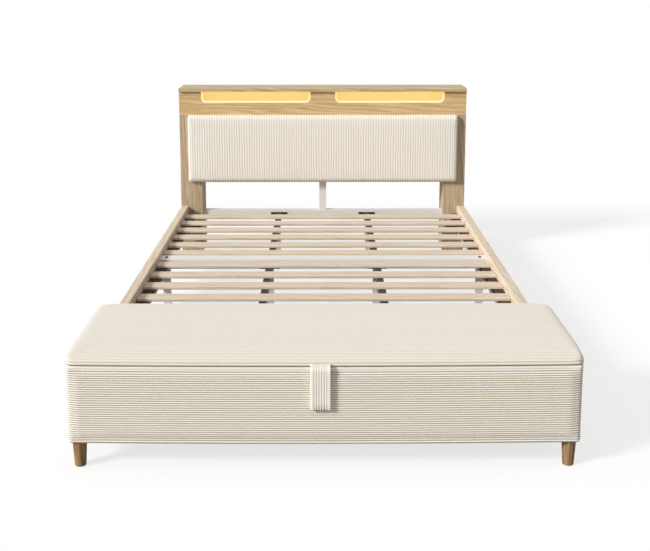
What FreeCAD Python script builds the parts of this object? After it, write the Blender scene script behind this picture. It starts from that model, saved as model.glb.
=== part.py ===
import FreeCAD, Part
import math
import os

# Double bed: lit headboard at +Y, slatted frame, storage bench with a hinged lid at -Y.
# All lengths are millimetres. The floor is Z = 0 and X = 0 is the plane of symmetry.

# Overall sizes
bed_width = 1460.0
sleep_length = 1960.0
headboard_depth = 163.0
headboard_height = 853.0
bench_depth = 487.0
cut_overrun = 5.0
seat_clearance = 0.3

# Headboard carcass
cap_thickness = 21.0
cap_overhang = 12.0
cap_edge_radius = 8.0
fascia_height = 118.0
board_thickness = 18.0
back_thickness = 9.0
leg_width = 110.0
glide_height = 5.0
glide_radius = 9.0
glide_inset = 30.0

# Lit niches under the cap
niche_end_margin = 112.0
niche_height = 57.0
niche_spacing = 126.0
niche_corner_radius = 25.0
niche_depth = 52.0
niche_back_thickness = 6.0
lens_width = 9.0
lens_recess = 1.0
tape_width = 8.0
tape_thickness = 2.0
tape_end_gap = 30.0

# LED driver and its inlet, inside the headboard
driver_length = 120.0
driver_depth = 32.0
driver_height = 24.0
inlet_radius = 6.0
inlet_collar_radius = 9.0
inlet_collar_length = 8.0
inlet_bore_radius = 2.75
inlet_pin_radius = 1.0
inlet_offset = 260.0
inlet_rise = 60.0
driver_inlet_gap = 40.0

# Headboard pad
pad_side_margin = 42.0
pad_bottom = 368.0
pad_thickness = 40.0
pad_wrap = 8.0
pad_board_thickness = 12.0
pad_corner_radius = 24.0
pad_drawn_in = 3.0
pad_skirt = 10.0
pad_roll = 22.0
pad_end_roll = 14.0
pad_crown_inset = 90.0
pad_crown_rise = 5.0
pad_lap = 2.0

# Side rails and slats
rail_thickness = 37.0
rail_height = 140.0
rail_top = 240.0
rail_edge_radius = 4.0
slat_top = 216.0
slat_width = 65.0
slat_thickness = 12.0
slat_edge_radius = 3.0
slat_end_gap = 2.0
slats_per_bay = 6
head_slat_offset = 89.0
bar_slat_gap = 28.0
bench_slat_gap = 140.0
ledger_width = 32.0
ledger_height = 30.0
ledger_end_gap = 20.0

# Steel cross members, beams and support legs
tube_wall = 2.0
cross_height = 40.0
head_rail_setback = 15.0
head_rail_depth = 40.0
mid_bar_depth = 70.0
bay_difference = 96.0
foot_rail_gap = 24.0
foot_rail_depth = 40.0
flange_thickness = 4.0
flange_margin = 26.0
flange_bolt_reach = 25.0
beam_offset = 227.0
beam_width = 25.0
beam_height = 40.0
beam_plate_width = 84.0
beam_plate_thickness = 3.0
post_width = 36.0
post_depth = 30.0
support_width = 30.0
side_leg_gap = 25.0
head_leg_offset = 160.0
foot_cap_height = 8.0
foot_cap_lip = 2.0
foot_cap_plug = 16.0

# Corner brackets and bolts
bracket_length = 60.0
bracket_height = 32.0
bracket_thickness = 3.0
bracket_drop = 106.0
bolt_radius = 3.9
bolt_clearance = 0.1
bolt_length = 16.0
bolt_head_radius = 7.0
bolt_crown_radius = 5.0
bolt_head_height = 4.0
bolt_socket_radius = 2.5
bolt_socket_depth = 2.0
bolt_near_share = 0.4
bolt_far_share = 0.75

# Bench box and its cover
bench_bottom = 77.0
seam_height = 309.0
bench_board = 15.0
bench_floor_thickness = 12.0
bench_floor_rise = 3.0
side_padding = 14.0
front_padding = 10.0
rear_padding = 4.0
front_bow = 10.0
bench_corner_radius = 15.0
cover_roll = 6.0

# Bench feet
foot_top_radius = 21.0
foot_bottom_radius = 16.0
foot_edge_radius = 2.5
foot_inset = 10.0
stud_radius = 4.0
stud_length = 11.0

# Lid, hinges and pull strap
lid_board_thickness = 15.0
lid_pad_gap = 2.0
lid_rear_padding = 8.0
lid_drawn_in = 3.0
lid_skirt = 8.0
lid_side_roll = 12.0
lid_front_roll = 110.0
lid_rear_roll = 36.0
lid_rise = 30.0
lid_crown_inset = 170.0
lid_crown_rise = 4.0
hinge_spacing = 520.0
hinge_length = 60.0
hinge_leaf = 2.0
hinge_knuckle_radius = 4.5
hinge_axis_rise = 1.0
hinge_pin_radius = 2.4
hinge_running_gap = 0.05
hinge_side_gap = 0.4
hinge_leaf_gap = 0.6
box_leaf_height = 40.0
lid_leaf_height = 17.0
strap_width = 56.5
strap_length = 135.0
strap_layer = 5.0
strap_slit = 2.0
strap_offset = -11.0
strap_gap = 0.5

# Steps used in each rolled edge of a soft piece, and how closely an edge follows an axis
roll_steps = 4
parallel_share = 0.9

# Places worked out from the sizes above
half_width = bed_width / 2
strap_thickness = 2 * strap_layer + strap_slit
strap_stand = strap_thickness + strap_gap
total_length = bench_depth + sleep_length + headboard_depth + strap_stand
bench_front = strap_stand - total_length / 2
bench_back = bench_front + bench_depth
board_face = bench_back + sleep_length
board_back = board_face + headboard_depth
cap_bottom = headboard_height - cap_thickness
niche_bottom = cap_bottom - niche_height
niche_width = half_width - niche_end_margin - niche_spacing / 2
pad_top = cap_bottom - fascia_height
pad_width = bed_width - 2 * pad_side_margin
carcass_bottom = pad_bottom - pad_lap
leg_inner = half_width - leg_width
inner_back = board_back - back_thickness
behind_front = board_face + board_thickness
rail_inner = half_width - rail_thickness
rail_bottom = rail_top - rail_height
slat_bottom = slat_top - slat_thickness
cross_bottom = slat_top - cross_height
beam_bottom = slat_bottom - beam_height
head_rail_face = board_face + head_rail_setback
head_rail_back = head_rail_face + head_rail_depth
mid_bar_offset = (sleep_length - mid_bar_depth - bay_difference) / 2
mid_bar_back = board_face - mid_bar_offset
mid_bar_front = mid_bar_back - mid_bar_depth
mid_bar_middle = mid_bar_back - mid_bar_depth / 2
slat_gaps = slats_per_bay - 1
head_slat_pitch = (mid_bar_offset - bar_slat_gap - slat_width - head_slat_offset) / slat_gaps
foot_slat_offset = mid_bar_offset + mid_bar_depth + bar_slat_gap
foot_slat_pitch = (sleep_length - bench_slat_gap - slat_width - foot_slat_offset) / slat_gaps
side_leg_offset = rail_inner - side_leg_gap
foot_rail_front = bench_back + foot_rail_gap
foot_rail_back = foot_rail_front + foot_rail_depth
foot_rail_bottom = slat_bottom - cross_height
box_half = half_width - side_padding
box_front = bench_front + front_bow + front_padding
box_back = bench_back - rear_padding
floor_bottom = bench_bottom + bench_floor_rise
floor_top = floor_bottom + bench_floor_thickness
lid_pad_bottom = seam_height + lid_pad_gap
lid_board_back = bench_back - lid_rear_padding
hinge_y = bench_back + hinge_knuckle_radius
hinge_z = seam_height + hinge_axis_rise
strap_back = bench_front - strap_gap
strap_top = lid_pad_bottom + lid_skirt
strap_bottom = strap_top - strap_length

X_AXIS = FreeCAD.Vector(1, 0, 0)
Y_AXIS = FreeCAD.Vector(0, 1, 0)
Z_AXIS = FreeCAD.Vector(0, 0, 1)
nodes = {}
bolts = []


def point(x, y, z):
    return FreeCAD.Vector(x, y, z)


def box(x0, x1, y0, y1, z0, z1):
    return Part.makeBox(x1 - x0, y1 - y0, z1 - z0, point(x0, y0, z0))


def mirrored(shape):
    return shape.mirror(point(0, 0, 0), X_AXIS)


def pair(name, shape):
    """The same piece on the left and on the right, each in its own node."""
    nodes["right_" + name] = shape
    nodes["left_" + name] = mirrored(shape)


def group(shapes):
    return Part.makeCompound(shapes)


def rounded_edges(shape, radius, along):
    """Round the edges that run along one axis."""
    edges = []
    for edge in shape.Edges:
        if abs(edge.tangentAt(edge.FirstParameter).dot(along)) > parallel_share:
            edges.append(edge)
    return shape.makeFillet(radius, edges)


def arc_corner(centre, radius, start, end, place):
    """An arc round a corner between two angles; place turns a plan point into a 3D point."""
    ends = []
    for angle in (start, (start + end) / 2, end):
        across = centre[0] + radius * math.cos(angle)
        along = centre[1] + radius * math.sin(angle)
        ends.append(place(across, along))
    return Part.Arc(*ends).toShape()


def rounded_outline(half_across, low, high, radius, bow, place):
    """A rounded rectangle whose low side bows out by bow at its middle."""
    right = half_across - radius
    foot = low + bow
    lines = [
        Part.LineSegment(place(half_across, foot + radius), place(half_across, high - radius)).toShape(),
        arc_corner((right, high - radius), radius, 0, math.pi / 2, place),
        Part.LineSegment(place(right, high), place(-right, high)).toShape(),
        arc_corner((-right, high - radius), radius, math.pi / 2, math.pi, place),
        Part.LineSegment(place(-half_across, high - radius), place(-half_across, foot + radius)).toShape(),
        arc_corner((-right, foot + radius), radius, math.pi, 3 * math.pi / 2, place),
    ]
    if bow:
        lines.append(Part.Arc(place(-right, foot), place(0, low), place(right, foot)).toShape())
    else:
        lines.append(Part.LineSegment(place(-right, foot), place(right, foot)).toShape())
    lines.append(arc_corner((right, foot + radius), radius, 3 * math.pi / 2, 2 * math.pi, place))
    return Part.Wire(lines)


def rolled_levels(start, rise):
    """Heights of a quarter-round edge, from its widest line to its top, each with its share of the inset."""
    levels = []
    for step in range(roll_steps + 1):
        angle = step * math.pi / 2 / roll_steps
        levels.append((start + rise * math.sin(angle), 1 - math.cos(angle)))
    return levels


def cushion(section, levels):
    """A soft closed form lofted through its sections, each given as its height and insets."""
    return Part.makeLoft([section(*level) for level in levels], True, True)


def tube_along_x(half_length, y0, y1, z0, z1):
    """A rectangular cross tube with a bolting flange at each end."""
    body = box(-half_length, half_length, y0, y1, z0, z1)
    for side in (-1, 1):
        outer = side * half_length
        inner = outer - side * flange_thickness
        low, high = sorted((outer, inner))
        body = body.fuse(box(low, high, y0, y1, z0 - flange_margin, z1))
    body = body.removeSplitter()
    hollow = box(-half_length - cut_overrun, half_length + cut_overrun,
                 y0 + tube_wall, y1 - tube_wall, z0 + tube_wall, z1 - tube_wall)
    return body.cut(hollow)


def bolt(seat, inward):
    """A round-headed bolt seated at a face and driven inward."""
    outward = inward * -1
    head = Part.makeCone(bolt_head_radius, bolt_crown_radius, bolt_head_height, seat, outward)
    shank = Part.makeCylinder(bolt_radius, bolt_length, seat, inward)
    top = seat + outward * bolt_head_height
    socket = Part.makeCylinder(bolt_socket_radius, bolt_socket_depth, top, inward)
    return head.fuse(shank).removeSplitter().cut(socket)


def bolt_hole(seat, inward):
    return Part.makeCylinder(bolt_radius + bolt_clearance, bolt_length + bolt_clearance, seat, inward)


def fasten_both_sides(seat, inward):
    """Note a bolt on the right and its mirror image on the left."""
    bolts.append((seat, inward))
    bolts.append((point(-seat.x, seat.y, seat.z), point(-inward.x, inward.y, inward.z)))


def drill(names):
    """Cut every bolt's hole from the pieces that it passes through."""
    for name in names:
        shape = nodes[name]
        holes = []
        for seat, inward in bolts:
            hole = bolt_hole(seat, inward)
            if shape.BoundBox.intersect(hole.BoundBox):
                holes.append(hole)
        if holes:
            nodes[name] = shape.cut(group(holes))


def niche_outline(inset, y0, y1, rise):
    """The right niche's opening: a slot open at its top with rounded lower corners."""
    x0 = niche_spacing / 2 + inset
    x1 = niche_spacing / 2 + niche_width - inset
    z0 = niche_bottom + inset
    z1 = cap_bottom + rise
    radius = niche_corner_radius - inset

    def place(x, z):
        return point(x, y0, z)

    lines = [
        Part.LineSegment(place(x0, z1), place(x0, z0 + radius)).toShape(),
        arc_corner((x0 + radius, z0 + radius), radius, math.pi, 3 * math.pi / 2, place),
        Part.LineSegment(place(x0 + radius, z0), place(x1 - radius, z0)).toShape(),
        arc_corner((x1 - radius, z0 + radius), radius, 3 * math.pi / 2, 2 * math.pi, place),
        Part.LineSegment(place(x1, z0 + radius), place(x1, z1)).toShape(),
        Part.LineSegment(place(x1, z1), place(x0, z1)).toShape(),
    ]
    return Part.Face(Part.Wire(lines)).extrude(point(0, y1 - y0, 0))


def make_headboard_carcass():
    cap = box(-half_width, half_width, board_face - cap_overhang, board_back, cap_bottom, headboard_height)
    top_edges = [edge for edge in cap.Edges if edge.BoundBox.ZMin > cap_bottom + cap_thickness / 2]
    nodes["headboard_cap"] = cap.makeFillet(cap_edge_radius, top_edges)

    fascia = box(-half_width, half_width, board_face, behind_front, pad_top, cap_bottom)
    opening = niche_outline(0, board_face - cut_overrun, behind_front + cut_overrun, cut_overrun)
    nodes["headboard_fascia"] = fascia.cut(opening).cut(mirrored(opening))

    nodes["headboard_core_panel"] = box(-leg_inner, leg_inner, board_face, behind_front,
                                        carcass_bottom, pad_top)
    side = half_width - board_thickness
    nodes["headboard_back_panel"] = box(-side, side, inner_back, board_back, carcass_bottom, cap_bottom)
    nodes["headboard_bottom_board"] = box(-leg_inner, leg_inner, behind_front, inner_back,
                                          carcass_bottom, carcass_bottom + board_thickness)
    floor_underside = niche_bottom - board_thickness
    nodes["niche_floor"] = box(-side, side, behind_front, inner_back, floor_underside, niche_bottom)

    pair("leg_front_board", box(leg_inner, half_width, board_face, behind_front, glide_height, pad_top))
    pair("leg_outer_board", box(side, half_width, behind_front, board_back, glide_height, cap_bottom))
    inner_board = box(leg_inner, leg_inner + board_thickness, behind_front, inner_back,
                      glide_height, floor_underside)
    pair("leg_inner_board", inner_board)


def make_niche_lights():
    front = board_face + lens_recess
    outer = niche_outline(0, front, behind_front, 0)
    inner = niche_outline(lens_width, front - cut_overrun, behind_front + cut_overrun, cut_overrun)
    pair("light_lens", outer.cut(inner))

    niche_inner = niche_spacing / 2
    niche_outer = niche_inner + niche_width
    niche_rear = behind_front + niche_depth
    back_half = niche_outer + board_thickness
    nodes["niche_back"] = box(-back_half, back_half, niche_rear, niche_rear + niche_back_thickness,
                              niche_bottom, cap_bottom)
    dividers = []
    for x0 in (niche_inner - board_thickness, niche_outer):
        divider = box(x0, x0 + board_thickness, behind_front, niche_rear, niche_bottom, cap_bottom)
        dividers.append(divider)
        dividers.append(mirrored(divider))
    nodes["niche_dividers"] = group(dividers)

    tape = box(niche_inner + tape_end_gap, niche_outer - tape_end_gap, behind_front,
               behind_front + tape_width, niche_bottom, niche_bottom + tape_thickness)
    nodes["led_tapes"] = group([tape, mirrored(tape)])


def make_led_driver():
    floor = carcass_bottom + board_thickness
    start = inlet_offset + driver_inlet_gap
    nodes["led_driver"] = box(start, start + driver_length, inner_back - driver_depth, inner_back,
                              floor, floor + driver_height)
    centre = point(inlet_offset, inner_back, floor + inlet_rise)
    nose = Part.makeCylinder(inlet_radius, back_thickness, centre, Y_AXIS)
    collar = Part.makeCylinder(inlet_collar_radius, inlet_collar_length, centre, Y_AXIS * -1)
    bore = Part.makeCylinder(inlet_bore_radius, back_thickness, centre, Y_AXIS)
    pin = Part.makeCylinder(inlet_pin_radius, back_thickness, centre, Y_AXIS)
    nodes["power_inlet"] = nose.fuse(collar).cut(bore).fuse(pin).removeSplitter()
    hole = Part.makeCylinder(inlet_radius, back_thickness, centre, Y_AXIS)
    nodes["headboard_back_panel"] = nodes["headboard_back_panel"].cut(hole)


def make_headboard_pad():
    half = pad_width / 2

    def section(depth, end_inset, inset):
        def place(x, z):
            return point(x, board_face - depth, z)
        return rounded_outline(half - end_inset, pad_bottom + inset, pad_top - inset,
                               pad_corner_radius, 0, place)

    rise = pad_thickness - pad_skirt - pad_crown_rise
    levels = [(seat_clearance, pad_drawn_in, pad_drawn_in)]
    for depth, inset_share in rolled_levels(pad_skirt, rise):
        levels.append((depth, inset_share * pad_end_roll, inset_share * pad_roll))
    levels.append((pad_thickness, pad_crown_inset, pad_crown_inset))
    pad = cushion(section, levels)
    wrap = pad_wrap
    backing = box(-half + wrap, half - wrap, board_face - pad_board_thickness, board_face,
                  pad_bottom + wrap, pad_top - wrap)
    nodes["headboard_pad_board"] = backing
    nodes["headboard_pad"] = pad.cut(backing)


def make_rails():
    rail = box(rail_inner, half_width, bench_back, board_face, rail_bottom, rail_top)
    rail_middle = rail_bottom + rail_height / 2
    top_edges = [edge for edge in rail.Edges
                 if edge.BoundBox.ZMin > rail_middle and edge.BoundBox.YLength > rail_height]
    pair("side_rail", rail.makeFillet(rail_edge_radius, top_edges))

    low = slat_bottom - ledger_height
    inner = rail_inner - ledger_width
    head_part = box(inner, rail_inner, mid_bar_back, board_face - ledger_end_gap, low, slat_bottom)
    foot_part = box(inner, rail_inner, foot_rail_back, mid_bar_front, low, slat_bottom)
    pair("slat_ledger", group([head_part, foot_part]))


def make_slats():
    half = rail_inner - slat_end_gap
    places = [head_slat_offset + index * head_slat_pitch for index in range(slats_per_bay)]
    places += [foot_slat_offset + index * foot_slat_pitch for index in range(slats_per_bay)]
    for number, offset in enumerate(places, start=1):
        back = board_face - offset
        slat = box(-half, half, back - slat_width, back, slat_bottom, slat_top)
        nodes["slat_%02d" % number] = rounded_edges(slat, slat_edge_radius, X_AXIS)


def beam_length(y0, y1):
    """One length of beam tube with a bolting plate at each end."""
    x0 = beam_offset - beam_width / 2
    x1 = beam_offset + beam_width / 2
    body = box(x0, x1, y0, y1, beam_bottom, slat_bottom)
    plate_half = beam_plate_width / 2
    for start in (y0, y1 - beam_plate_thickness):
        plate = box(beam_offset - plate_half, beam_offset + plate_half, start, start + beam_plate_thickness,
                    cross_bottom, slat_bottom)
        body = body.fuse(plate)
    hollow = box(x0 + tube_wall, x1 - tube_wall, y0 - cut_overrun, y1 + cut_overrun,
                 beam_bottom + tube_wall, slat_bottom - tube_wall)
    return body.removeSplitter().cut(hollow)


def make_cross_members():
    nodes["head_rail"] = tube_along_x(leg_inner, head_rail_face, head_rail_back, cross_bottom, slat_top)
    nodes["mid_bar"] = tube_along_x(rail_inner, mid_bar_front, mid_bar_back, cross_bottom, slat_top)
    nodes["foot_rail"] = tube_along_x(rail_inner, foot_rail_front, foot_rail_back,
                                      foot_rail_bottom, slat_bottom)
    head_part = beam_length(mid_bar_back, head_rail_face)
    foot_part = beam_length(foot_rail_back, mid_bar_front)
    pair("beam", group([head_part, foot_part]))

    post_y = head_rail_face + (head_rail_depth - post_depth) / 2
    post = box(-post_width / 2, post_width / 2, post_y, post_y + post_depth, slat_top, carcass_bottom)
    hollow = box(tube_wall - post_width / 2, post_width / 2 - tube_wall, post_y + tube_wall,
                 post_y + post_depth - tube_wall, slat_top - cut_overrun, carcass_bottom + cut_overrun)
    nodes["headboard_centre_post"] = post.cut(hollow)


def support_leg(x, y, top):
    half = support_width / 2
    leg = box(x - half, x + half, y - half, y + half, foot_cap_height, top)
    inside = half - tube_wall
    hollow = box(x - inside, x + inside, y - inside, y + inside,
                 foot_cap_height - cut_overrun, top + cut_overrun)
    return leg.cut(hollow)


def support_cap(x, y):
    half = support_width / 2 + foot_cap_lip
    disc = rounded_edges(box(x - half, x + half, y - half, y + half, 0, foot_cap_height),
                         foot_cap_lip, Z_AXIS)
    inside = support_width / 2 - tube_wall
    plug = box(x - inside, x + inside, y - inside, y + inside,
               foot_cap_height, foot_cap_height + foot_cap_plug)
    return disc.fuse(plug).removeSplitter()


def make_support_legs():
    places = [
        (beam_offset, board_face - head_leg_offset, beam_bottom),
        (beam_offset, mid_bar_middle, cross_bottom),
        (side_leg_offset, mid_bar_middle, cross_bottom),
    ]
    legs = []
    glides = []
    for x, y, top in places:
        leg = support_leg(x, y, top)
        cap = support_cap(x, y)
        legs += [leg, mirrored(leg)]
        glides += [cap, mirrored(cap)]
    board_middle = board_thickness / 2
    front_place = (half_width - leg_width / 2, board_face + board_middle)
    rear_place = (half_width - board_middle, board_back - glide_inset)
    for x, y in (front_place, rear_place):
        glide = Part.makeCylinder(glide_radius, glide_height, point(x, y, 0), Z_AXIS)
        glides += [glide, mirrored(glide)]
    nodes["support_legs"] = group(legs)
    nodes["floor_glides"] = group(glides)


def corner_bracket(face, inward):
    """An angle plate in the corner between a rail and the board that it meets; inward is +1 or -1 along Y."""
    high = rail_top - bracket_drop
    low = high - bracket_height
    far = face - inward * bracket_length
    on_rail = box(rail_inner - bracket_thickness, rail_inner, min(face, far), max(face, far), low, high)
    step = face - inward * bracket_thickness
    on_board = box(rail_inner - bracket_length, rail_inner, min(face, step), max(face, step), low, high)
    middle = (low + high) / 2
    for share in (bolt_near_share, bolt_far_share):
        along = face - inward * share * bracket_length
        fasten_both_sides(point(rail_inner - bracket_thickness, along, middle), X_AXIS)
        across = rail_inner - share * bracket_length
        fasten_both_sides(point(across, step, middle), Y_AXIS * inward)
    return on_rail.fuse(on_board).removeSplitter()


def make_brackets():
    brackets = []
    for face, inward in ((board_face, 1), (bench_back, -1)):
        bracket = corner_bracket(face, inward)
        brackets += [bracket, mirrored(bracket)]
    nodes["rail_brackets"] = group(brackets)


def make_bolts():
    """Bolts of the flanges, the beam plates and the mid bar's side legs, with their holes."""
    flange_z = cross_bottom - flange_margin / 2
    fasten_both_sides(point(leg_inner - flange_thickness, head_rail_face + head_rail_depth / 2,
                            flange_z), X_AXIS)
    fasten_both_sides(point(rail_inner - flange_thickness, foot_rail_front + foot_rail_depth / 2,
                            foot_rail_bottom - flange_margin / 2), X_AXIS)
    plate_z = (cross_bottom + slat_bottom) / 2
    reach = (beam_width + beam_plate_width) / 4
    for face, inward in ((head_rail_face, 1), (mid_bar_back, -1), (mid_bar_front, 1), (foot_rail_back, -1)):
        for side in (-1, 1):
            seat = point(beam_offset + side * reach, face - inward * beam_plate_thickness, plate_z)
            fasten_both_sides(seat, Y_AXIS * inward)
    for side in (-1, 1):
        across = mid_bar_middle + side * flange_bolt_reach
        fasten_both_sides(point(rail_inner - flange_thickness, across, flange_z), X_AXIS)
    fasten_both_sides(point(side_leg_offset, mid_bar_middle, slat_top), Z_AXIS * -1)

    drill(["rail_brackets", "head_rail", "mid_bar", "foot_rail", "bench_cover", "bench_back_board"])
    for side in ("left_", "right_"):
        drill([side + "side_rail", side + "leg_front_board", side + "leg_inner_board", side + "beam"])
    nodes["frame_bolts"] = group([bolt(seat, inward) for seat, inward in bolts])


def bench_section(height, side_inset, front_inset, rear_inset):
    def place(x, y):
        return point(x, y, height)
    return rounded_outline(half_width - side_inset, bench_front + front_inset, bench_back - rear_inset,
                           bench_corner_radius, front_bow, place)


def make_bench_box():
    nodes["bench_bottom_board"] = box(-box_half, box_half, box_front, box_back, floor_bottom, floor_top)
    front_inner = box_front + bench_board
    back_inner = box_back - bench_board
    nodes["bench_front_board"] = box(-box_half, box_half, box_front, front_inner, floor_top, seam_height)
    nodes["bench_back_board"] = box(-box_half, box_half, back_inner, box_back, floor_top, seam_height)
    pair("bench_end_board", box(box_half - bench_board, box_half, front_inner, back_inner,
                                floor_top, seam_height))

    rim = seam_height - seat_clearance
    drawn_in = (cover_roll, cover_roll, cover_roll)
    levels = [(bench_bottom, *drawn_in), (bench_bottom + cover_roll, 0, 0, 0),
              (rim - cover_roll, 0, 0, 0), (rim, *drawn_in)]
    cover = cushion(bench_section, levels)
    inside = box(-box_half, box_half, box_front, box_back,
                 bench_bottom - cut_overrun, seam_height + cut_overrun)
    nodes["bench_cover"] = cover.cut(inside)


def make_bench_feet():
    feet = []
    reach = foot_inset + foot_top_radius
    for y in (bench_front + front_bow + reach, bench_back - reach):
        for side in (-1, 1):
            x = side * (half_width - reach)
            height = floor_bottom
            foot = Part.makeCone(foot_bottom_radius, foot_top_radius, height, point(x, y, 0), Z_AXIS)
            sole = [edge for edge in foot.Edges if edge.BoundBox.ZMax < height / 2 and edge.Closed]
            foot = foot.makeFillet(foot_edge_radius, sole)
            stud = Part.makeCylinder(stud_radius, stud_length, point(x, y, height), Z_AXIS)
            feet.append(foot.fuse(stud).removeSplitter())
    nodes["bench_feet"] = group(feet)
    nodes["bench_bottom_board"] = nodes["bench_bottom_board"].cut(nodes["bench_feet"])
    nodes["bench_cover"] = nodes["bench_cover"].cut(group(feet))


def make_lid():
    lid_top = seam_height + lid_board_thickness
    board = box(-box_half, box_half, box_front, lid_board_back, seam_height, lid_top)
    nodes["lid_board"] = board
    roll_start = lid_pad_bottom + lid_skirt
    levels = [(lid_pad_bottom, lid_drawn_in, lid_drawn_in, lid_drawn_in)]
    for height, inset_share in rolled_levels(roll_start, lid_rise):
        levels.append((height, inset_share * lid_side_roll, inset_share * lid_front_roll,
                       inset_share * lid_rear_roll))
    levels.append((roll_start + lid_rise + lid_crown_rise, lid_crown_inset, lid_crown_inset, lid_crown_inset))
    nodes["lid_pad"] = cushion(bench_section, levels).cut(board)


def knuckle(x0, x1, reach):
    """A hinge knuckle with the stretch of leaf that joins it; reach is up or down from the axis."""
    barrel = Part.makeCylinder(hinge_knuckle_radius, x1 - x0, point(x0, hinge_y, hinge_z), X_AXIS)
    tip = hinge_z + reach
    neck = box(x0, x1, bench_back, bench_back + hinge_leaf, min(hinge_z, tip), max(hinge_z, tip))
    return barrel.fuse(neck)


def make_hinges():
    half = hinge_length / 2
    split = hinge_length / 4
    clear = hinge_knuckle_radius + hinge_leaf_gap
    bore = hinge_pin_radius + hinge_running_gap
    box_leaves = []
    lid_leaves = []
    pins = []
    for index in (-1, 0, 1):
        x = index * hinge_spacing
        bore_cut = Part.makeCylinder(bore, hinge_length, point(x - half, hinge_y, hinge_z), X_AXIS)
        box_leaf = box(x - half, x + half, bench_back, bench_back + hinge_leaf,
                       hinge_z - box_leaf_height, hinge_z - clear)
        for x0, x1 in ((x - half, x - split - hinge_side_gap), (x + split + hinge_side_gap, x + half)):
            box_leaf = box_leaf.fuse(knuckle(x0, x1, -clear))
        box_leaves.append(box_leaf.removeSplitter().cut(bore_cut))
        lid_leaf = box(x - half, x + half, bench_back, bench_back + hinge_leaf,
                       hinge_z + clear, hinge_z + lid_leaf_height)
        lid_leaf = lid_leaf.fuse(knuckle(x - split, x + split, clear))
        lid_leaves.append(lid_leaf.removeSplitter().cut(bore_cut))
        pin_end = point(x - half, hinge_y, hinge_z)
        pins.append(Part.makeCylinder(hinge_pin_radius, hinge_length, pin_end, X_AXIS))
    nodes["hinge_box_leaves"] = group(box_leaves)
    nodes["hinge_lid_leaves"] = group(lid_leaves)
    nodes["hinge_pins"] = group(pins)


def strap_profile(front, back, radius, top):
    """A hanging fold seen from its side: two straight layers and a round bottom."""
    x0 = strap_offset - strap_width / 2
    bend = strap_bottom + strap_thickness / 2
    middle = (front + back) / 2

    def place(y, z):
        return point(x0, y, z)

    lines = [
        Part.LineSegment(place(back, top), place(front, top)).toShape(),
        Part.LineSegment(place(front, top), place(front, bend)).toShape(),
        arc_corner((middle, bend), radius, math.pi, 3 * math.pi / 2, place),
        arc_corner((middle, bend), radius, 3 * math.pi / 2, 2 * math.pi, place),
        Part.LineSegment(place(back, bend), place(back, top)).toShape(),
    ]
    return Part.Face(Part.Wire(lines)).extrude(X_AXIS * strap_width)


def make_strap():
    front = strap_back - strap_thickness
    outer = strap_profile(front, strap_back, strap_thickness / 2, strap_top)
    slit = strap_profile(front + strap_layer, strap_back - strap_layer, strap_slit / 2,
                         strap_top - strap_layer)
    nodes["lid_strap"] = outer.cut(slit)


make_headboard_carcass()
make_niche_lights()
make_led_driver()
make_headboard_pad()
make_rails()
make_slats()
make_cross_members()
make_support_legs()
make_bench_box()
make_bench_feet()
make_lid()
make_hinges()
make_strap()
make_brackets()
make_bolts()

os.makedirs("parts", exist_ok=True)
for name, shape in nodes.items():
    shape.exportStep("parts/" + name + ".step")
    print(name, len(shape.Solids), shape.isValid(), round(shape.Volume))
print(len(nodes), "nodes")
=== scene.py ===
import math

import bmesh
import bpy
import numpy as np
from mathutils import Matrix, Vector


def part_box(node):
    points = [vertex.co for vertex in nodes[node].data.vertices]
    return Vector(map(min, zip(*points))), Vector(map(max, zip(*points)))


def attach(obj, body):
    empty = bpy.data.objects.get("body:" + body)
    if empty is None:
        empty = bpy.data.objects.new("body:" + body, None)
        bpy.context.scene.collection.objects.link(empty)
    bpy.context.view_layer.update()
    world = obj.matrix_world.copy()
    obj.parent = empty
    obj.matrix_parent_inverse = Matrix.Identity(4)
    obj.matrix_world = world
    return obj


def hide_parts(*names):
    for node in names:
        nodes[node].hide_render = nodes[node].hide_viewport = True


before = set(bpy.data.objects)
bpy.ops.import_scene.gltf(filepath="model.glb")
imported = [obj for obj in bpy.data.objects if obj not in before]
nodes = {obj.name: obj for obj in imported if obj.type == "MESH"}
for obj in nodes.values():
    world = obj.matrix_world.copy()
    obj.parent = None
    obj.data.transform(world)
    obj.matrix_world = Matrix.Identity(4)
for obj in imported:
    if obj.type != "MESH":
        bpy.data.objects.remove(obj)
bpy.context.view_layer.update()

# All lengths are metres, apart from the camera's lens and sensor, which are millimetres.

# Camera, fitted to the corners of the bed in the photograph
camera_place = (-0.0099, -3.9777, 1.3431)
camera_pitch = math.radians(9.835)
camera_turn = math.radians(-0.237)
camera_lens = 56.119
camera_sensor = 36.0
camera_shift = -0.17

# Light: a soft key from the upper left, and a dome that is brighter on that side
key_direction = (-0.755, -0.44, 0.485)
key_strength = 3.28
key_angle = math.radians(14)
dome_left = 0.53
dome_right = 0.38
dome_colour = (1.0, 0.99, 0.975, 1)
white = (1, 1, 1, 1)

# Floor: what it bounces on to the bed, and how it looks to the camera
floor_size = 2000.0
floor_drop = 0.0005
floor_bounce = (0.40, 0.40, 0.40, 1)
floor_white = (0.272, 0.272, 0.272, 1)
floor_glow = 0.74
floor_roughness = 0.9

# Ribs of the corduroy; each groove value darkens its grooves as painted shade
pad_rib_pitch = 0.0126
pad_rib_height = 0.0012
pad_groove_shade = 0.29
pad_crest_tint = 0.97
bench_rib_pitch = 0.0066
bench_rib_height = 0.0024
bench_groove_shade = 0.85
bench_crest_tint = 1.0
lid_rib_pitch = 0.0105
lid_rib_height = 0.0008
lid_groove_shade = 0.17
lid_crest_tint = 0.83
strap_ribs = 7
strap_plain_ribs = 1
strap_rib_height = 0.0010
strap_groove_shade = 0.34
strap_crest_tint = 0.94
rib_power = 1.7
crest_gain = 1.3
rib_samples = 8
fine_rib_samples = 6

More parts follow.
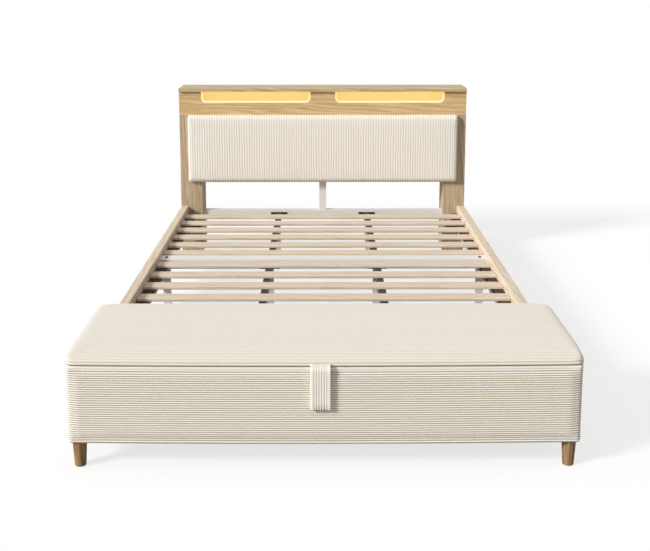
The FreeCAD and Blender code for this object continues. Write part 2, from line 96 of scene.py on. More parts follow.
# Headboard pad
pad_roll = 0.022
pad_end_roll = 0.014
pad_wall = 0.010
pad_rise = 0.021
pad_crown = 0.002
pad_crown_reach = 0.090
pad_swell = 0.0010
pad_step = 0.012

# Lid cushion
lid_side_roll = 0.012
lid_front_roll = 0.110
lid_back_roll = 0.036
lid_wall = 0.008
lid_rise = 0.030
lid_crown = 0.0015
lid_crown_reach = 0.160
lid_swell = 0.0022
lid_step = 0.014
lid_seam_depth = 0.0016
lid_rim_shade = 0.9
lid_lip_shade = 0.13
lid_corner_radius = 0.085
lid_front_radius = 0.024
lid_corner_start = 0.016
lid_corner_rise = 0.020
front_bow = 0.010
bow_reach = 0.200

# Bench cover
cover_radius = 0.015
cover_roll = 0.006
cover_inset = 0.0025
cover_swell = 0.0022
cover_step = 0.016
cover_span = 0.024
cover_turn_reach = 0.0025
cover_rim = 0.010
cover_rim_fade = 0.008
cover_rim_reach = 0.004
cover_rim_shade = 0.9
cover_foot_reach = 0.0075
cover_foot_shade = 0.75

# Small screws with a crossed recess
screw_radius = 0.0042
screw_height = 0.0012
screw_sides = 24
screw_edge_share = 0.5
screw_top_share = 0.82
recess_arms = 4
recess_tip_share = 0.6
recess_root_share = 0.2
recess_rim_share = 0.95
recess_depth_share = 0.7
back_screw_inset = 0.020
back_screws_across = 6

# Strap
strap_layer = 0.0048
strap_lean = 0.022
strap_thinning_share = 0.6
strap_rib_fade_share = 0.5
strap_front_tuck = 0.0016
strap_back_tuck = 0.0012
strap_hem = 0.0024
strap_foot_reach = 0.030
strap_foot_shade = 1.4
strap_steps = 40
strap_bend_steps = 14
hem_steps = 3

# How full each soft piece is, and how its parts are divided
edge_gap = 0.0004
seam_width = 0.0022
pad_corner_share = 0.35
lid_front_corner_share = 0.1
lid_back_corner_share = 0.42
roll_steps = 10
quarter_samples = 200
outline_density = 60
corner_steps = 12
corner_bend = 0.005

# How fast the swell ends, the shade comes in and the ribs fade down a pad's wall
wall_hold_rate = 3
wall_shade_rate = 3
wall_rib_rate = 1.5

# Cloth settling
settle_frames = 20
settle_pressure = 4.0
settle_quality = 5
settle_mass = 0.3

# Meshing: welds, least sizes and steps, and where shading turns sharp
weld_distance = 1e-5
degenerate_length = 1e-6
least_length = 1e-9
least_area = 1e-12
least_share = 1e-6
least_steps = 8
least_wall_steps = 2
end_step_share = 1 / 3
place_decimals = 6
sharp_angle = math.radians(62)

# Wood: where its tones and pores lie in the patterns, how dark the pores are, and its gloss
axis_names = "xyz"
tone_stops = (0.30, 0.50, 0.70)
pore_stops = (0.34, 0.44)
pore_colour = (0.62, 0.55, 0.48, 1)
pore_share = 0.6
wood_gloss = 0.03

# The lens is palest up to the first height over its foot and deepest from the second one
lens_glow_start = 0.011
lens_glow_end = 0.025


def grid_faces(rows, columns, close_columns, keep):
    """Quads of a grid of points, leaving out cells that keep marks as false."""
    faces = []
    last = columns if close_columns else columns - 1
    for row in range(rows - 1):
        for column in range(last):
            if keep is None or keep[row, column]:
                beside = (column + 1) % columns
                faces.append((row * columns + column, row * columns + beside,
                              (row + 1) * columns + beside, (row + 1) * columns + column))
    return faces


def spline_weights(places, count, closed):
    """Catmull-Rom weights that read a row of evenly spaced values at fractional places."""
    weights = np.zeros((len(places), count))
    base = np.floor(places).astype(int)
    t = places - base
    parts = (
        (-1, -0.5 * t + t ** 2 - 0.5 * t ** 3),
        (0, 1 - 2.5 * t ** 2 + 1.5 * t ** 3),
        (1, 0.5 * t + 2 * t ** 2 - 1.5 * t ** 3),
        (2, -0.5 * t ** 2 + 0.5 * t ** 3),
    )
    rows = np.arange(len(places))
    for step, share in parts:
        column = (base + step) % count if closed else np.clip(base + step, 0, count - 1)
        np.add.at(weights, (rows, column), share)
    return weights


def settle(points, close_columns, keep, pinned, facing, limit):
    """Press a fabric skin out from its foam by cloth simulation; returns how far each point moved.

    Facing is 1 where the grid's own normals point out of the foam, and -1 where they point in.
    """
    rows, columns = points.shape[:2]
    mesh = bpy.data.meshes.new("settling")
    mesh.from_pydata(points.reshape(-1, 3).tolist(), [], grid_faces(rows, columns, close_columns, keep))
    skin = bpy.data.objects.new("settling", mesh)
    scene = bpy.context.scene
    scene.collection.objects.link(skin)
    held = skin.vertex_groups.new(name="held")
    held.add(np.flatnonzero(pinned.ravel()).tolist(), 1.0, "REPLACE")
    cloth = skin.modifiers.new("cloth", "CLOTH")
    cloth.settings.quality = settle_quality
    cloth.settings.mass = settle_mass
    cloth.settings.use_pressure = True
    cloth.settings.uniform_pressure_force = settle_pressure * facing
    cloth.settings.effector_weights.gravity = 0
    cloth.settings.vertex_group_mass = "held"
    cloth.collision_settings.use_collision = False
    cloth.point_cache.frame_start = 1
    cloth.point_cache.frame_end = settle_frames
    for number in range(1, settle_frames + 1):
        scene.frame_set(number)
    evaluated = skin.evaluated_get(bpy.context.evaluated_depsgraph_get())
    found = np.zeros(len(evaluated.data.vertices) * 3)
    evaluated.data.vertices.foreach_get("co", found)
    moved = found.reshape(points.shape) - points
    scene.frame_set(1)
    bpy.data.objects.remove(skin)
    bpy.data.meshes.remove(mesh)
    length = np.linalg.norm(moved, axis=2, keepdims=True)
    return moved * np.minimum(1.0, limit / np.maximum(length, least_length))


def surface_normals(points, close_columns):
    """Unit normals of a grid of points."""
    down = np.gradient(points, axis=0)
    if close_columns:
        across = (np.roll(points, -1, axis=1) - np.roll(points, 1, axis=1)) / 2
    else:
        across = np.gradient(points, axis=1)
    normals = np.cross(across, down)
    length = np.linalg.norm(normals, axis=2, keepdims=True)
    return normals / np.maximum(length, least_area)


def rib_shares(girth, pitch):
    """Height of round ribs along a girth: 0 in the grooves, 1 on the crests."""
    away = np.abs(2 * ((girth / pitch) % 1.0) - 1)
    return np.sqrt(np.maximum(0.0, 1 - away ** rib_power))


def rib_tints(girth, pitch, groove_shade, crest_tint):
    """How pale ribs are along a girth: crest_tint on crests, and darker in the grooves by painted shade.
    """
    crest = 0.5 - 0.5 * np.cos(2 * math.pi * girth / pitch)
    return crest_tint - groove_shade * (1 - smooth_share(crest_gain * crest))


def smooth_share(value):
    """A smooth step from 0 to 1."""
    held = np.clip(value, 0.0, 1.0)
    return held * held * (3 - 2 * held)


def late_share(value, rate):
    """A smooth step over the last part of a run from 0 to 1: the greater the rate, the later."""
    return smooth_share(rate * value - (rate - 1))


def near_share(away, reach):
    """1 up to half a reach away, and smoothly down to 0 at the reach."""
    return smooth_share(2 - 2 * away / reach)


def held_in(value, low, high):
    """A value kept between two others, with the edge gap beyond each."""
    return min(max(value, low - edge_gap), high + edge_gap)


def piece_from_grid(name, points, shares, close_columns, keep):
    """A new mesh piece whose rib attribute sets how pale it is: pale on crests, with painted shade in the
    grooves and, on some pieces, along rims and seams.
    """
    rows, columns = points.shape[:2]
    mesh = bpy.data.meshes.new(name)
    mesh.from_pydata(points.reshape(-1, 3).tolist(), [], grid_faces(rows, columns, close_columns, keep))
    attribute = mesh.attributes.new("rib", "FLOAT", "POINT")
    attribute.data.foreach_set("value", shares.ravel().astype(np.float32))
    piece = bpy.data.objects.new(name, mesh)
    bpy.context.scene.collection.objects.link(piece)
    return piece


def turn_in(form, place):
    """Fold the open rim of a form on to new places."""
    rim = [edge for edge in form.edges if edge.is_boundary]
    made = bmesh.ops.extrude_edge_only(form, edges=rim)["geom"]
    for item in made:
        if isinstance(item, bmesh.types.BMVert):
            item.co = place(item.co)


def close_form(piece, folds=()):
    """Weld a piece's corners, fold its rim round its board and close it."""
    form = bmesh.new()
    form.from_mesh(piece.data)
    loose = [vertex for vertex in form.verts if not vertex.link_faces]
    bmesh.ops.delete(form, geom=loose, context="VERTS")
    bmesh.ops.remove_doubles(form, verts=form.verts, dist=weld_distance)
    for place in folds:
        turn_in(form, place)
    if folds:
        bmesh.ops.remove_doubles(form, verts=form.verts, dist=weld_distance)
    rim = [edge for edge in form.edges if edge.is_boundary]
    if rim:
        bmesh.ops.holes_fill(form, edges=rim, sides=0)
    bmesh.ops.dissolve_degenerate(form, dist=degenerate_length, edges=form.edges)
    bmesh.ops.recalc_face_normals(form, faces=form.faces)
    for face in form.faces:
        face.smooth = True
    form.to_mesh(piece.data)
    form.free()
    piece.data.set_sharp_from_angle(angle=sharp_angle)


class Pad:
    """A pad's skin: flat middle with a crown, rolled edges and short walls, over a board.

    Side 0 runs across and side 1 along; each has a roll at its low end and one at its high end.
    """

    def __init__(self, halves, rolls, rise, wall, crown, reach, corner_shares):
        self.halves = halves
        self.rolls = np.array(rolls)
        self.rise = rise
        self.wall = wall
        self.crown = crown
        self.reach = reach
        self.corner_shares = corner_shares
        self.turns = np.linspace(0, math.pi / 2, quarter_samples)

    def quarter(self, roll):
        """Lengths along a roll's quarter ellipse at each of the turns."""
        step = np.hypot(np.diff(roll * np.sin(self.turns)), np.diff(self.rise * np.cos(self.turns)))
        return np.concatenate([[0], np.cumsum(step)])

    def ends(self, side):
        """Girths at which the two walls of a side begin."""
        low, high = (self.halves[side] - roll + self.quarter(roll)[-1] for roll in self.rolls[side])
        return -low, high

    def past_end(self, girth, side):
        """How far girths lie beyond the start of their wall."""
        low, high = self.ends(side)
        return np.where(girth > 0, girth - high, low - girth)

    def fold(self, girth, side):
        """A girth's place on the flat, its turn as a sine, its share down the wall, and its roll."""
        low_roll, high_roll = self.rolls[side]
        roll = np.where(girth > 0, high_roll, low_roll)
        flat = self.halves[side] - roll
        beyond = np.abs(girth) - flat
        turn = np.where(girth > 0, np.interp(beyond, self.quarter(high_roll), self.turns),
                        np.interp(beyond, self.quarter(low_roll), self.turns))
        core = np.sign(girth) * np.minimum(np.abs(girth), flat)
        down = np.clip(self.past_end(girth, side) / self.wall, 0, 1)
        return core, np.sign(girth) * np.sin(turn), down, roll

    def points(self, across, along):
        """Points of a grid of girths, their share down the walls, and a share that is 0 at corners."""
        core_a, bend_a, down_a, roll_a = (v[:, None] for v in self.fold(across, 0))
        core_b, bend_b, down_b, roll_b = (v[None, :] for v in self.fold(along, 1))
        corner = np.where(bend_b > 0, self.corner_shares[1], self.corner_shares[0])
        x = core_a + roll_a * bend_a * np.sqrt(1 - corner * bend_b ** 2)
        y = core_b + roll_b * bend_b * np.sqrt(1 - corner * bend_a ** 2)
        down = np.maximum(down_a, down_b)
        round_share = np.sqrt(np.maximum(0, (1 - bend_a ** 2) * (1 - bend_b ** 2)))
        edge_a = self.halves[0] - roll_a - np.abs(core_a)
        edge_b = self.halves[1] - roll_b - np.abs(core_b)
        crown = self.crown * smooth_share(edge_a / self.reach) * smooth_share(edge_b / self.reach)
        height = self.wall * (1 - down) + self.rise * round_share + crown
        free = smooth_share(1 - (bend_a * bend_b) ** 2)
        return np.stack(np.broadcast_arrays(x, y, height), axis=2), down, free

    def kept(self, across, along):
        """Cells of a grid that are not in the corner blocks, where two walls would meet twice."""
        walls = []
        for girth, side in ((across, 0), (along, 1)):
            down = self.fold(girth, side)[2]
            walls.append(np.maximum(down[:-1], down[1:]) > least_share)
        return ~(walls[0][:, None] & walls[1][None, :])


def even_girths(pad, side, step):
    """Evenly spaced girths from the end of one wall to the end of the other."""
    low, high = pad.ends(side)
    count = max(least_steps, round((high - low + 2 * pad.wall) / step))
    return np.linspace(low - pad.wall, high + pad.wall, count + 1)


def ribbed_girths(pad, side, step, wall_steps):
    """Girths that sample each rib evenly and meet the wall's start and end exactly."""
    low, high = pad.ends(side)
    inner = np.arange(math.ceil(low / step), math.floor(high / step) + 1) * step
    margin = step * end_step_share
    inner = inner[(inner > low + margin) & (inner < high - margin)]
    wall = np.linspace(0, pad.wall, wall_steps + 1)
    return np.concatenate([low - wall[::-1], inner, high + wall])


def plain_girths(pad, side, step, wall_steps):
    """Girths along the ribs: wide on the flat, close on the rolls."""
    low, high = pad.ends(side)
    start, end = pad.rolls[side] * (1, -1) + pad.halves[side] * np.array((-1, 1))
    middle = np.linspace(start, end, round((end - start) / step) + 1)
    low_roll = np.linspace(low, start, roll_steps + 1)[:-1]
    high_roll = np.linspace(end, high, roll_steps + 1)[1:]
    wall = np.linspace(0, pad.wall, wall_steps + 1)[1:]
    return np.concatenate([low - wall[::-1], low_roll, middle, high_roll, high + wall])


def make_padded(name, pad, place, room, ribs, step, swell, seam_depth, rim_shade, lip_shade):
    """A padded, ribbed piece in its room: the skin settles on coarse points, then gets its ribs."""
    ribs_side, pitch, samples, rib_height, *tint = ribs
    coarse = [even_girths(pad, side, step) for side in (0, 1)]
    start, down, _ = pad.points(*coarse)
    lifted = place(start + (0, 0, pad.wall))
    start = place(start)
    middle = tuple(count // 2 for count in down.shape)
    facing = np.sign(np.dot(surface_normals(start, False)[middle], (lifted - start)[middle]))
    moved = settle(start, False, pad.kept(*coarse), down > 0, facing, swell)
    wall_steps = max(least_wall_steps, round(pad.wall / pitch * samples))
    girths = [None, None]
    girths[ribs_side] = ribbed_girths(pad, ribs_side, pitch / samples, wall_steps)
    girths[1 - ribs_side] = plain_girths(pad, 1 - ribs_side, step, wall_steps)
    local, down, free = pad.points(*girths)
    weights = []
    for side in (0, 1):
        places = (girths[side] - coarse[side][0]) / (coarse[side][1] - coarse[side][0])
        weights.append(spline_weights(places, len(coarse[side]), False))
    moved = np.einsum("bj,ajk->abk", weights[1], np.tensordot(weights[0], moved, (1, 0)))
    held = free * (1 - smooth_share(wall_hold_rate * down))
    points = np.clip(place(local) + moved * held[:, :, None], *room)
    normals = facing * surface_normals(points, False)

    def spread(values):
        """Values across the ribs, repeated along them."""
        return np.broadcast_to(values[:, None] if ribs_side == 0 else values[None, :], down.shape)

    run = girths[ribs_side] + pitch / 2
    shares = spread(rib_shares(run, pitch))
    tints = spread(rib_tints(run, pitch, *tint)) * (1 - rim_shade * late_share(down, wall_shade_rate))
    lip = smooth_share(-pad.fold(girths[1], 1)[1])
    tints = tints * (1 - lip_shade * lip[None, :])
    fade = free * (1 - late_share(down, wall_rib_rate))
    seam = np.maximum(pad.past_end(girths[0], 0)[:, None], pad.past_end(girths[1], 1)[None, :])
    seam = seam_depth * np.exp(-(seam / seam_width) ** 2)
    points = points + normals * ((rib_height * (shares - 1) - seam) * fade)[:, :, None]
    return piece_from_grid(name, points, tints, False, pad.kept(*girths))


def make_headboard_pad():
    """The headboard's cushion, with upright ribs, folded round its board."""
    low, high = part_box("headboard_pad")
    board_low, board_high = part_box("headboard_pad_board")
    centre = (low + high) / 2
    half = (high - low) / 2
    rolls = ((pad_end_roll, pad_end_roll), (pad_roll, pad_roll))
    pad = Pad((half.x - edge_gap, half.z - edge_gap), rolls, pad_rise, pad_wall, pad_crown,
              pad_crown_reach, (pad_corner_share, pad_corner_share))

    def place(local):
        """Points of the pad in the room."""
        x, along, height = np.moveaxis(local, 2, 0)
        return np.stack([x + centre.x, high.y - height, along + centre.z], axis=2)

    def behind(co):
        """On the board's edge, as deep as the rim."""
        return held_in(co.x, board_low.x, board_high.x), co.y, held_in(co.z, board_low.z, board_high.z)

    def over_board(co):
        """Just in front of the board's face."""
        return co.x, board_low.y - edge_gap, co.z

    ribs = (0, pad_rib_pitch, rib_samples, pad_rib_height, pad_groove_shade, pad_crest_tint)
    piece = make_padded("headboard_cushion", pad, place, (low, high), ribs, pad_step, pad_swell,
                        seam_depth=0, rim_shade=0, lip_shade=0)
    close_form(piece, (behind, over_board))
    dress(piece, "frame", "headboard_pad", "corduroy")


def turned_corner(past_side, past_end, radius):
    """How far a square plan corner is drawn in, across and along, to turn round it."""
    u = np.clip(past_side / radius + 1, 0, 1)
    v = np.clip(past_end / radius + 1, 0, 1)
    return radius * np.stack([u * (1 - np.sqrt(1 - v ** 2 / 2)), v * (1 - np.sqrt(1 - u ** 2 / 2))])


def make_lid_cushion():
    """The lid's cushion, with ribs from side to side, folded round its board."""
    low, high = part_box("lid_pad")
    board_low, board_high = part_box("lid_board")
    half_across = (high.x - low.x) / 2 - edge_gap
    front = low.y + front_bow + edge_gap
    back = high.y - edge_gap
    middle = (front + back) / 2
    rolls = ((lid_side_roll, lid_side_roll), (lid_front_roll, lid_back_roll))
    pad = Pad((half_across, (back - front) / 2), rolls, lid_rise, lid_wall, lid_crown,
              lid_crown_reach, (lid_front_corner_share, lid_back_corner_share))

    def place(local):
        """Points of the pad in the room."""
        x, along, height = np.moveaxis(local, 2, 0)
        y = along + middle
        bow = front_bow * (1 - (x / half_across) ** 2) * smooth_share(1 - (y - front) / bow_reach)
        lifted = smooth_share((height - lid_corner_start) / lid_corner_rise)
        rear_in = turned_corner(np.abs(x) - half_across, y - back, lid_corner_radius) * lifted
        front_in = turned_corner(np.abs(x) - half_across, front - y, lid_front_radius)
        x = x - np.sign(x) * (rear_in[0] + front_in[0])
        y = y - rear_in[1] + front_in[1]
        return np.stack([x, y - bow, low.z + height], axis=2)

    def under(co):
        """On the board's edge, as low as the rim."""
        return held_in(co.x, board_low.x, board_high.x), held_in(co.y, board_low.y, board_high.y), co.z

    def over_board(co):
        """Just over the board's top."""
        return co.x, co.y, board_high.z + edge_gap

    ribs = (1, lid_rib_pitch, rib_samples, lid_rib_height, lid_groove_shade, lid_crest_tint)
    piece = make_padded("lid_cushion", pad, place, (low, high), ribs, lid_step, lid_swell,
                        lid_seam_depth, lid_rim_shade, lid_lip_shade)
    close_form(piece, (under, over_board))
    dress(piece, "lid", "lid_pad", "corduroy")


def bench_outline(half, front, back):
    """Plan points of the bench: bowed front, straight sides, rounded corners; closed and evenly dense."""
    right = half - cover_radius
    x = np.linspace(0, right, outline_density)
    front_run = np.stack([x, front + front_bow * (x / right) ** 2], axis=1)
    turn = np.linspace(0, math.pi / 2, outline_density)
    around = cover_radius * np.stack([np.cos(turn), np.sin(turn)], axis=1)
    near = around[::-1] * (1, -1) + (right, front + front_bow + cover_radius)
    far = around + (right, back - cover_radius)
    back_run = np.stack([np.linspace(right, 0, outline_density), np.full(outline_density, back)], axis=1)
    right_side = np.concatenate([front_run, near, far, back_run])
    left_side = right_side[::-1] * (-1, 1)
    line = np.concatenate([right_side, left_side])
    step = np.linalg.norm(np.diff(line, axis=0), axis=1)
    line = line[np.concatenate([[True], step > least_length])]
    travel = np.concatenate([[0], np.cumsum(np.linalg.norm(np.diff(line, axis=0), axis=1))])
    return line, travel


def make_bench_cover():
    """The bench's cover, with level ribs all round, and its inner face along the boards."""
    low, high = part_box("bench_cover")
    board_low, board_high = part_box("bench_bottom_board")
    line, travel = bench_outline(high.x - cover_inset, low.y + cover_inset, high.y - cover_inset)
    round_length = travel[-1]

    def along_line(places):
        """Plan points at lengths along the outline."""
        wrapped = places % round_length
        return np.stack([np.interp(wrapped, travel, line[:, axis]) for axis in (0, 1)], axis=-1)

    def outward(places):
        """Plan directions out of the bench at lengths along the outline."""
        ahead = along_line(places + cover_turn_reach) - along_line(places - cover_turn_reach)
        normal = np.stack([ahead[:, 1], -ahead[:, 0]], axis=1)
        return normal / np.linalg.norm(normal, axis=1, keepdims=True)

    arc = cover_roll * math.pi / 2
    straight = high.z - low.z - 2 * cover_roll
    girth_end = straight + 2 * arc

    def skin(places, girths):
        """Points of the cover's outside, from its lower roll to its upper one."""
        lower = np.clip(girths, 0, arc) / cover_roll
        upper = np.clip(girths - arc - straight, 0, arc) / cover_roll
        inset = cover_roll * (1 - np.sin(lower)) + cover_roll * (1 - np.cos(upper))
        rise = np.clip(girths - arc, 0, straight)
        z = low.z + cover_roll * (1 - np.cos(lower)) + rise + cover_roll * np.sin(upper)
        plan = along_line(places)[None, :, :] - outward(places)[None, :, :] * inset[:, None, None]
        return np.concatenate([plan, np.broadcast_to(z[:, None, None], plan.shape[:2] + (1,))], axis=2)

    coarse_count = round(round_length / cover_span)
    coarse_places = np.arange(coarse_count) * round_length / coarse_count
    coarse_rows = round(girth_end / cover_step)
    coarse_girths = np.linspace(0, girth_end, coarse_rows + 1)
    start = skin(coarse_places, coarse_girths)
    pinned = np.zeros(start.shape[:2], bool)
    pinned[[0, -1], :] = True
    middle = surface_normals(start, True)[coarse_rows // 2, :, :2]
    facing = np.sign(np.sum(middle * outward(coarse_places)))
    moved = settle(start, True, None, pinned, facing, cover_swell)

    corner_turn = np.linspace(0, 1, corner_steps + 1)
    bends = np.flatnonzero(np.abs(np.diff(np.unwrap(np.arctan2(*np.diff(line, axis=0).T)))) > corner_bend)
    near_bend = np.min(np.abs(travel[bends + 1][None, :] - coarse_places[:, None]), axis=1) < cover_span
    places = [coarse_places]
    for place in coarse_places[near_bend]:
        places.append(place + (corner_turn[1:-1] - 0.5) * round_length / coarse_count)
    places = np.unique(np.round(np.concatenate(places) % round_length, place_decimals))
    rows = math.ceil(girth_end / bench_rib_pitch * fine_rib_samples)
    girths = np.linspace(0, girth_end, rows + 1)
    points = skin(places, girths)
    weights_rows = spline_weights(girths / girth_end * coarse_rows, coarse_rows + 1, False)
    weights_places = spline_weights(places / round_length * coarse_count, coarse_count, True)
    points = points + np.einsum("bj,ajk->abk", weights_places, np.tensordot(weights_rows, moved, (1, 0)))
    points = np.clip(points, low, high)
    normals = facing * surface_normals(points, True)
    pitch = girth_end / round(girth_end / bench_rib_pitch)
    ribbed = smooth_share((girth_end - girths - cover_rim) / cover_rim_fade)
    shares = 1 - ribbed * (1 - rib_shares(girths, pitch))
    tints = 1 - ribbed * (1 - rib_tints(girths, pitch, bench_groove_shade, bench_crest_tint))
    tints = tints * (1 - cover_rim_shade * near_share(girth_end - girths, cover_rim_reach))
    tints = tints * (1 - cover_foot_shade * near_share(girths, cover_foot_reach))
    points = points + normals * (bench_rib_height * (shares - 1))[:, None, None]
    inner = along_line(places)
    inner = np.stack([np.clip(inner[:, 0], board_low.x - edge_gap, board_high.x + edge_gap),
                      np.clip(inner[:, 1], board_low.y - edge_gap, board_high.y + edge_gap)], axis=1)
    rings = [np.concatenate([inner, np.full((len(places), 1), z)], axis=1)[None] for z in (low.z, high.z)]
    points = np.concatenate([rings[0], points, rings[1], rings[0]])
    tints = np.concatenate([[0], tints, [0, 0]])
    tints = np.broadcast_to(tints[:, None], points.shape[:2])
    piece = piece_from_grid("bench_wrap", points, tints, True, None)
    close_form(piece)
    dress(piece, "frame", "bench_cover", "corduroy")


def make_strap():
    """The pull: a band of corduroy folded at its foot, its two ends sewn together at the lid."""
    low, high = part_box("lid_strap")
    layer = strap_layer / 2
    front = low.y + layer
    back = high.y - layer
    bend = (back - front) / 2
    foot = low.z + bend + layer
    rise = np.linspace(high.z, foot, strap_steps)
    lean = 1 - smooth_share((high.z - rise) / strap_lean)
    down = np.stack([front + lean * (back - front - strap_front_tuck), rise], axis=1)
    turn = np.linspace(0, math.pi, strap_bend_steps + 2)[1:-1]
    under = np.stack([(front + back) / 2 - bend * np.cos(turn), foot - bend * np.sin(turn)], axis=1)
    up = np.stack([back + lean[::-1] * strap_back_tuck, rise[::-1]], axis=1)
    path = np.concatenate([down, under, up])
    tangent = np.gradient(path, axis=0)
    tangent = tangent / np.linalg.norm(tangent, axis=1, keepdims=True)
    outside = np.stack([tangent[:, 1], -tangent[:, 0]], axis=1)
    thin = np.concatenate([lean, np.zeros(len(under)), lean[::-1]])
    half_thick = layer * (1 - strap_thinning_share * thin)

    width = high.x - low.x
    ribbed = width - 2 * strap_hem
    across = np.linspace(-ribbed / 2, ribbed / 2, strap_ribs * rib_samples + 1)
    pitch = ribbed / strap_ribs
    plain = np.abs(across) > ribbed / 2 - strap_plain_ribs * pitch + pitch / rib_samples / 2
    shares = np.where(plain, 1.0, rib_shares(across + ribbed / 2, pitch))
    tints = rib_tints(across + ribbed / 2, pitch, strap_groove_shade, strap_crest_tint)
    tints = np.where(plain, strap_crest_tint, tints)
    hem = np.linspace(0, math.pi / 2, hem_steps + 1)[1:]
    left = -ribbed / 2 - strap_hem * np.sin(hem)
    outer_x = np.concatenate([left[::-1], across, -left])
    edge = np.cos(hem)
    lift = np.concatenate([edge[::-1], np.ones_like(across), edge])
    groove = np.concatenate([np.zeros(hem_steps), shares - 1, np.zeros(hem_steps)])
    inner_x = outer_x[::-1][1:-1]
    section_x = np.concatenate([outer_x, inner_x]) + (low.x + high.x) / 2
    lift = np.concatenate([lift, -lift[::-1][1:-1]])
    groove = np.concatenate([groove, np.zeros(len(inner_x))])
    rib = np.concatenate([np.ones(hem_steps), tints, np.ones(hem_steps), np.ones(len(inner_x))])
    near_foot = smooth_share(1 - (path[:, 1] - low.z) / strap_foot_reach)
    rib = 1 - (1 - rib)[None, :] * (1 + strap_foot_shade * near_foot)[:, None]
    rib_height = strap_rib_height * (1 - strap_rib_fade_share * thin)
    offset = half_thick[:, None] * lift[None, :] + rib_height[:, None] * groove[None, :]
    points = np.stack([
        np.broadcast_to(section_x[None, :], offset.shape),
        path[:, 0, None] + outside[:, 0, None] * offset,
        path[:, 1, None] + outside[:, 1, None] * offset,
    ], axis=2)
    piece = piece_from_grid("pull_strap", points, rib, True, None)
    close_form(piece)
    dress(piece, "strap", "lid_strap", "corduroy")


def dress(piece, body, node, slot):
    """Let a soft piece ride its body, stand for its solid and take its finish."""
    piece.data.materials.append(materials[slot])
    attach(piece, body)
    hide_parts(node)


def srgb(red, green, blue):
    """A colour as a picture shows it, 0 to 255, as linear light."""
    linear = []
    for value in (red, green, blue):
        share = value / 255
        linear.append(share / 12.92 if share <= 0.04045 else ((share + 0.055) / 1.055) ** 2.4)
    return (*linear, 1.0)


class Recipe:
    """A material's node tree with short calls for the nodes that the recipes below use."""

    def __init__(self, name):
        self.material = bpy.data.materials.new(name)
        self.material.use_nodes = True
        self.tree = self.material.node_tree
        self.shader = self.tree.nodes["Principled BSDF"]
        self.place = self.tree.nodes.new("ShaderNodeTexCoord").outputs["Object"]

    def link(self, value, socket):
        if isinstance(value, bpy.types.NodeSocket):
            self.tree.links.new(value, socket)
        else:
            socket.default_value = value

    def set(self, **values):
        """Set or link the shader's sockets; an underscore stands for a space."""
        for name, value in values.items():
            self.link(value, self.shader.inputs[name.replace("_", " ")])

    def scaled(self, scale):
        node = self.tree.nodes.new("ShaderNodeMapping")
        self.link(self.place, node.inputs["Vector"])
        node.inputs["Scale"].default_value = scale
        return node.outputs[0]

    def noise(self, vector, scale=1.0, detail=3.0, roughness=0.55):
        node = self.tree.nodes.new("ShaderNodeTexNoise")
        self.link(vector, node.inputs["Vector"])
        node.inputs["Scale"].default_value = scale
        node.inputs["Detail"].default_value = detail
        node.inputs["Roughness"].default_value = roughness
        return node.outputs[0]

    def wave(self, vector, scale, distortion, detail, detail_scale):
        node = self.tree.nodes.new("ShaderNodeTexWave")
        node.wave_type = "BANDS"
        node.bands_direction = "DIAGONAL"
        node.wave_profile = "SIN"
        self.link(vector, node.inputs["Vector"])
        node.inputs["Scale"].default_value = scale
        node.inputs["Distortion"].default_value = distortion
        node.inputs["Detail"].default_value = detail
        node.inputs["Detail Scale"].default_value = detail_scale
        return node.outputs["Fac"]

    def ramp(self, factor, stops):
        node = self.tree.nodes.new("ShaderNodeValToRGB")
        self.link(factor, node.inputs[0])
        elements = node.color_ramp.elements
        stops = list(stops)
        while len(elements) < len(stops):
            elements.new(0.5)
        for element, (place, colour) in zip(elements, stops):
            element.position = place
            element.color = colour
        return node.outputs[0]

    def between(self, factor, low, high, start=0.0, end=1.0):
        """A number that runs from low to high as factor goes from start to end."""
        node = self.tree.nodes.new("ShaderNodeMapRange")
        self.link(factor, node.inputs["Value"])
        node.inputs["From Min"].default_value = start
        node.inputs["From Max"].default_value = end
        node.inputs["To Min"].default_value = low
        node.inputs["To Max"].default_value = high
        return node.outputs[0]

    def math(self, operation, first, second):
        node = self.tree.nodes.new("ShaderNodeMath")
        node.operation = operation
        self.link(first, node.inputs[0])
        self.link(second, node.inputs[1])
        return node.outputs[0]

    def mix(self, factor, first, second, blend="MIX"):
        node = self.tree.nodes.new("ShaderNodeMix")
        node.data_type = "RGBA"
        node.blend_type = blend
        first_socket, second_socket = (socket for socket in node.inputs if socket.type == "RGBA")
        self.link(factor, node.inputs[0])
        self.link(first, first_socket)
        self.link(second, second_socket)
        return next(socket for socket in node.outputs if socket.type == "RGBA")

    def bump(self, height, strength, distance):
        node = self.tree.nodes.new("ShaderNodeBump")
        node.inputs["Strength"].default_value = strength
        node.inputs["Distance"].default_value = distance
        self.link(height, node.inputs["Height"])
        self.link(node.outputs[0], self.shader.inputs["Normal"])

    def height(self, low, high):
        """A number that runs from 0 to 1 as a place rises from low to high."""
        split = self.tree.nodes.new("ShaderNodeSeparateXYZ")
        self.link(self.place, split.inputs[0])
        return self.between(split.outputs["Z"], low=0.0, high=1.0, start=low, end=high)

    def attribute(self, name):
        node = self.tree.nodes.new("ShaderNodeAttribute")
        node.attribute_name = name
        return node.outputs["Fac"]


